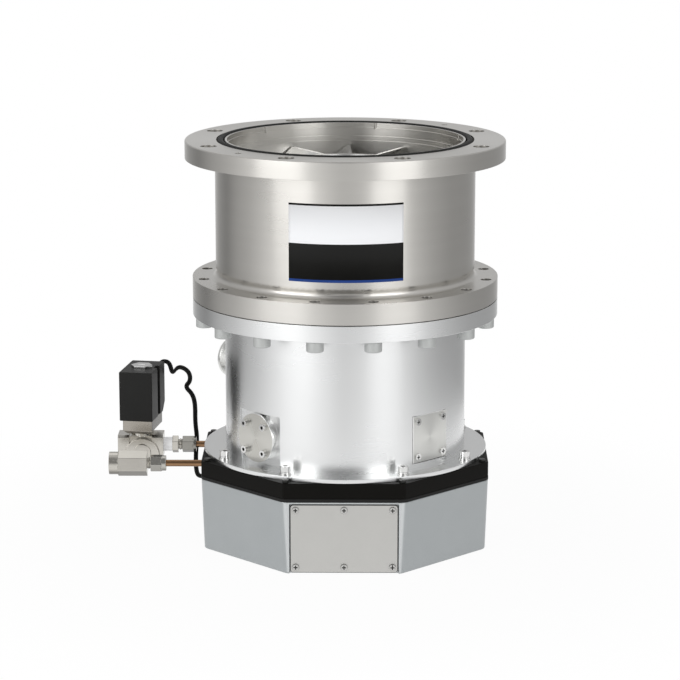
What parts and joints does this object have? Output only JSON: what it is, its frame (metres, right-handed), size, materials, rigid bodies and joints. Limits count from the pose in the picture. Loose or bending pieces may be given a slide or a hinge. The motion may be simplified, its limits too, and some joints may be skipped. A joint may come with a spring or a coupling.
{
  "type": "turbomolecular pump",
  "caption": "Upright turbomolecular pump with a bolted inlet flange, bladed rotor, octagonal drive base and a solenoid water valve beside it.",
  "frame": {"origin": "on the rotor's axis at the underside of the base", "axes": "+Z along the rotor's axis and out of the inlet, -Y towards the front panel, -X towards the water valve"},
  "size_m": [0.3733, 0.3, 0.3838],
  "materials": {
    "stainless": "turned, satin",
    "housing_aluminium": "turned, bright",
    "machined_aluminium": "machined",
    "black_plate": "black anodised, satin",
    "silver_paint": "silver-grey paint, satin",
    "panel_steel": "fine brushed",
    "plated_steel": "bright plated",
    "fitting_steel": "machined",
    "copper": "bright drawn copper tube",
    "black_rubber": "matte",
    "coil_resin": "moulded",
    "white_tape": "thread tape",
    "magnet_iron": "laminated",
    "board_green": "circuit board",
    "black_plastic": "moulded",
    "shaft_steel": "ground"
  },
  "bodies": {
    "pump": {"controller_housing": "silver_paint", "front_panel": "panel_steel", "front_panel_screws": "plated_steel", "bottom_cover": "machined_aluminium", "bottom_cover_screws": "plated_steel", "base_gasket": "black_rubber", "cooling_plate": "black_plate", "corner_screws": "plated_steel", "cooling_tube": "copper", "pump_housing": "housing_aluminium", "joint_seal_ring": "black_rubber", "housing_bolts": "plated_steel", "housing_bolt_washers": "plated_steel", "casing_bolts": "plated_steel", "side_cover_plate": "machined_aluminium", "side_cover_screws": "plated_steel", "purge_port_cover": "machined_aluminium", "purge_cover_screws": "plated_steel", "exhaust_port": "machined_aluminium", "exhaust_screws": "plated_steel", "inlet_casing": "stainless", "inlet_seal_ring": "black_rubber", "spacer_rings": "machined_aluminium", "drag_stator": "machined_aluminium", "stator_column": "machined_aluminium", "column_screws": "plated_steel", "axial_magnets": "magnet_iron", "motor_stator": "magnet_iron", "wire_plug": "black_plastic", "outlet_coupling": "fitting_steel", "outlet_nut": "fitting_steel", "inlet_nut": "fitting_steel", "male_connector": "fitting_steel", "thread_tape": "white_tape", "valve_body": "fitting_steel", "valve_bonnet": "fitting_steel", "valve_coil": "coil_resin", "coil_gland": "black_rubber", "coil_nut": "plated_steel", "guide_tube": "fitting_steel", "plunger_spring": "fitting_steel", "valve_lead": "black_rubber", "lead_grommet": "black_rubber", "board_posts": "plated_steel", "capacitors": "black_plastic", "power_inlet": "black_plastic", "signal_connector": "plated_steel", "stator_discs": "machined_aluminium", "backup_bearings": "shaft_steel", "radial_bearings": "magnet_iron", "drive_board": "board_green", "control_board": "board_green"},
    "rotor": {"rotor": "machined_aluminium", "shaft": "shaft_steel", "rotor_bolts": "plated_steel", "thrust_disc": "shaft_steel", "motor_rotor_sleeve": "shaft_steel"},
    "plunger": {"valve_plunger": "shaft_steel", "plunger_seal": "black_rubber"}
  },
  "joints": [
    {"name": "rotor_spin", "type": "hinge", "parent": "pump", "child": "rotor", "pos_m": [0, 0, 0.25], "axis": [0, 0, 1], "continuous": true},
    {"name": "plunger_lift", "type": "slide", "parent": "pump", "child": "plunger", "axis": [0, 0, 1], "range_m": [0, 0.0025], "stiffness_N_per_m": 400, "springref_m": -0.004, "deforming": ["plunger_spring"]}
  ]
}
